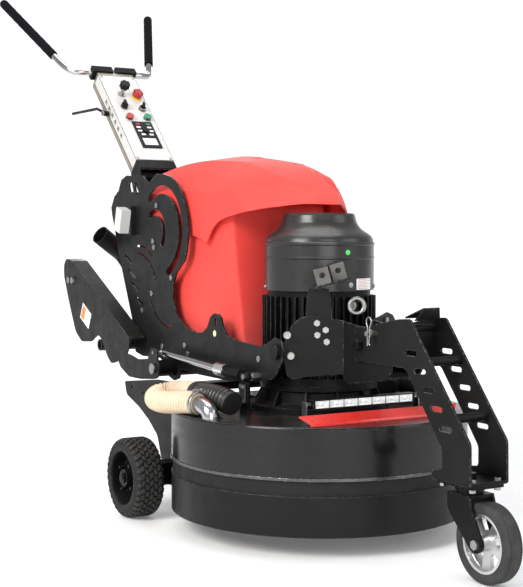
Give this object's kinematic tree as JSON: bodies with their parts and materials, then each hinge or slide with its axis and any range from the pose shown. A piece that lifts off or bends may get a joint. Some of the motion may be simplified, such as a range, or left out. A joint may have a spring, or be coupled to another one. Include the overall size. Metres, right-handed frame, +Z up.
{
  "type": "planetary concrete floor grinder",
  "caption": "Walk-behind planetary concrete grinder with a round grinding head, vertical electric motor, red hood, folding front caster leg, two rear wheels and a tilting handle column.",
  "frame": {"origin": "on the floor under the vertical motor and grinding head axis", "axes": "+Z up, -Y towards the front caster, +Y towards the operator, -X to the operator's right"},
  "size_m": [0.942, 2.701, 1.793],
  "materials": {
    "aluminium": "cast and machined",
    "black_paint": "semi-gloss powder coat",
    "black_plastic": "moulded",
    "cast_iron": "painted",
    "chrome": "polished",
    "clear_lens": "clear",
    "foam": "foam",
    "green_button": "gloss",
    "grey_paint": "satin powder coat",
    "hose": "ribbed flexible hose",
    "red_button": "gloss",
    "red_paint": "gloss paint",
    "red_plastic": "satin moulded",
    "rubber": "matt",
    "steel": "machined",
    "tyre": "matt",
    "white_paint": "powder coat",
    "zinc": "zinc plated"
  },
  "bodies": {
    "chassis": {"head_housing": "black_paint", "ring_gear": "steel", "gearbox_bell": "cast_iron", "motor_housing": "cast_iron", "motor_stator": "steel", "fan_cowl": "black_paint", "front_brackets": "black_paint", "clevis_post": "black_paint", "chassis_bolts": "zinc", "frame_tubes": "black_paint", "side_plates": "grey_paint", "wheel_plates": "grey_paint", "hood": "red_plastic", "inverter_cabinet": "black_paint", "light_bar": "clear_lens", "small_brackets": "zinc", "front_guard": "red_paint", "dust_pipes": "steel", "dust_hoses": "hose", "power_inlet": "white_paint"},
    "shroud": {"floating_shroud": "black_plastic", "shroud_seal": "rubber"},
    "carrier": {"planet_carrier": "steel"},
    "spindle_1": {"spindle_1": "steel"},
    "spindle_2": {"spindle_2": "steel"},
    "spindle_3": {"spindle_3": "steel"},
    "rotor": {"motor_shaft": "steel", "sun_gear": "steel", "cooling_fan": "black_plastic"},
    "column": {"handle_column": "steel", "column_fittings": "black_paint", "control_panel": "white_paint", "control_bezels": "black_plastic", "keypad": "black_plastic", "handlebar": "chrome", "hand_grips": "foam"},
    "rotary_switch": {"rotary_switch": "black_plastic"},
    "emergency_stop": {"emergency_stop": "red_button"},
    "selector_switch": {"selector_switch": "black_plastic"},
    "key_switch": {"key_switch": "black_plastic"},
    "stop_button": {"stop_button": "red_button"},
    "start_button": {"start_button": "green_button"},
    "release_lever": {"release_lever": "black_paint"},
    "rear_arms": {"rear_arms": "black_paint", "arm_weights": "cast_iron", "arm_bolts": "zinc"},
    "strut_tubes": {"strut_tubes": "aluminium"},
    "strut_rods": {"strut_rods": "chrome"},
    "front_leg": {"leg_plates": "black_paint", "leg_crosspieces": "black_paint"},
    "lock_pin": {"lock_pin": "zinc"},
    "caster_fork": {"caster_fork": "black_paint", "caster_axle": "zinc"},
    "caster_wheel": {"caster_hub": "aluminium", "caster_tyre": "rubber"},
    "rear_wheel_left": {"rear_tyre_left": "tyre", "rear_rim_left": "black_paint"},
    "rear_wheel_right": {"rear_tyre_right": "tyre", "rear_rim_right": "black_paint"},
    "toggle_latch": {"toggle_latch": "zinc"}
  },
  "joints": [
    {"name": "shroud_float", "type": "slide", "parent": "chassis", "child": "shroud", "axis": [0, 0, 1], "range_m": [0, 0.03]},
    {"name": "carrier_spin", "type": "hinge", "parent": "chassis", "child": "carrier", "pos_m": [0, 0, 0.2], "axis": [0, 0, 1], "continuous": true},
    {"name": "rotor_spin", "type": "hinge", "parent": "chassis", "child": "rotor", "pos_m": [0, 0, 0.3], "axis": [0, 0, 1], "continuous": true},
    {"name": "column_tilt", "type": "hinge", "parent": "chassis", "child": "column", "pos_m": [0, 0.962, 0.985], "axis": [1, 0, 0], "range_deg": [-20, 12]},
    {"name": "rotary_switch_turn", "type": "hinge", "parent": "column", "child": "rotary_switch", "pos_m": [-0.015, 1.35863, 1.38663], "axis": [0, -0.7071, 0.7071], "range_deg": [-140, 140]},
    {"name": "emergency_stop_press", "type": "slide", "parent": "column", "child": "emergency_stop", "axis": [0, 0.7071, -0.7071], "range_m": [0, 0.006]},
    {"name": "selector_switch_turn", "type": "hinge", "parent": "column", "child": "selector_switch", "pos_m": [-0.028, 1.3056, 1.3336], "axis": [0, -0.7071, 0.7071], "range_deg": [-45, 45]},
    {"name": "key_switch_turn", "type": "hinge", "parent": "column", "child": "key_switch", "pos_m": [0.043, 1.29923, 1.32723], "axis": [0, -0.7071, 0.7071], "range_deg": [-90, 0]},
    {"name": "stop_button_press", "type": "slide", "parent": "column", "child": "stop_button", "axis": [0, 0.7071, -0.7071], "range_m": [0, 0.004]},
    {"name": "start_button_press", "type": "slide", "parent": "column", "child": "start_button", "axis": [0, 0.7071, -0.7071], "range_m": [0, 0.004]},
    {"name": "release_lever_turn", "type": "hinge", "parent": "column", "child": "release_lever", "pos_m": [-0.092, 1.327, 1.308], "axis": [1, 0, 0], "range_deg": [-15, 20]},
    {"name": "rear_arm_swing", "type": "hinge", "parent": "chassis", "child": "rear_arms", "pos_m": [0, 0.52, 0.428], "axis": [1, 0, 0], "range_deg": [-8, 8]},
    {"name": "strut_tube_tilt", "type": "hinge", "parent": "chassis", "child": "strut_tubes", "pos_m": [0, -0.02, 0.451], "axis": [1, 0, 0], "range_deg": [-0.346, 0.346]},
    {"name": "strut_rod_slide", "type": "slide", "parent": "strut_tubes", "child": "strut_rods", "axis": [0, 0.9988, 0.0492], "range_m": [-0.00793, 0.00793]},
    {"name": "front_leg_fold", "type": "hinge", "parent": "chassis", "child": "front_leg", "pos_m": [0, -0.3, 0.556], "axis": [-1, 0, 0], "range_deg": [0, 80]},
    {"name": "lock_pin_pull", "type": "slide", "parent": "front_leg", "child": "lock_pin", "axis": [-1, 0, 0], "range_m": [0, 0.05]},
    {"name": "caster_swivel", "type": "hinge", "parent": "front_leg", "child": "caster_fork", "pos_m": [0, -0.69, 0.23], "axis": [0, 0, 1], "continuous": true},
    {"name": "caster_wheel_spin", "type": "hinge", "parent": "caster_fork", "child": "caster_wheel", "pos_m": [0, -0.761, 0.1], "axis": [1, 0, 0], "continuous": true},
    {"name": "rear_wheel_left_spin", "type": "hinge", "parent": "chassis", "child": "rear_wheel_left", "pos_m": [-0.422, 0.368, 0.12], "axis": [1, 0, 0], "continuous": true},
    {"name": "rear_wheel_right_spin", "type": "hinge", "parent": "chassis", "child": "rear_wheel_right", "pos_m": [0.422, 0.368, 0.12], "axis": [1, 0, 0], "continuous": true},
    {"name": "toggle_latch_swing", "type": "hinge", "parent": "chassis", "child": "toggle_latch", "pos_m": [-0.241, 0.031, 0.414], "axis": [1, 0, 0], "range_deg": [0, 60]},
    {"name": "spindle_1_spin", "type": "hinge", "parent": "carrier", "child": "spindle_1", "pos_m": [0, 0.234, 0.2], "axis": [0, 0, 1], "continuous": true},
    {"name": "spindle_2_spin", "type": "hinge", "parent": "carrier", "child": "spindle_2", "pos_m": [-0.20265, -0.117, 0.2], "axis": [0, 0, 1], "continuous": true},
    {"name": "spindle_3_spin", "type": "hinge", "parent": "carrier", "child": "spindle_3", "pos_m": [0.20265, -0.117, 0.2], "axis": [0, 0, 1], "continuous": true}
  ],
  "couplings": [
    {"joint": "rotor_spin", "follows": "carrier_spin", "ratio": 5.2},
    {"joint": "spindle_1_spin", "follows": "carrier_spin", "ratio": -2.625},
    {"joint": "spindle_2_spin", "follows": "carrier_spin", "ratio": -2.625},
    {"joint": "spindle_3_spin", "follows": "carrier_spin", "ratio": -2.625},
    {"joint": "strut_tube_tilt", "follows": "rear_arm_swing", "ratio": 0.01829},
    {"joint": "strut_rod_slide", "follows": "rear_arm_swing", "m_per_rad": -0.049633}
  ]
}
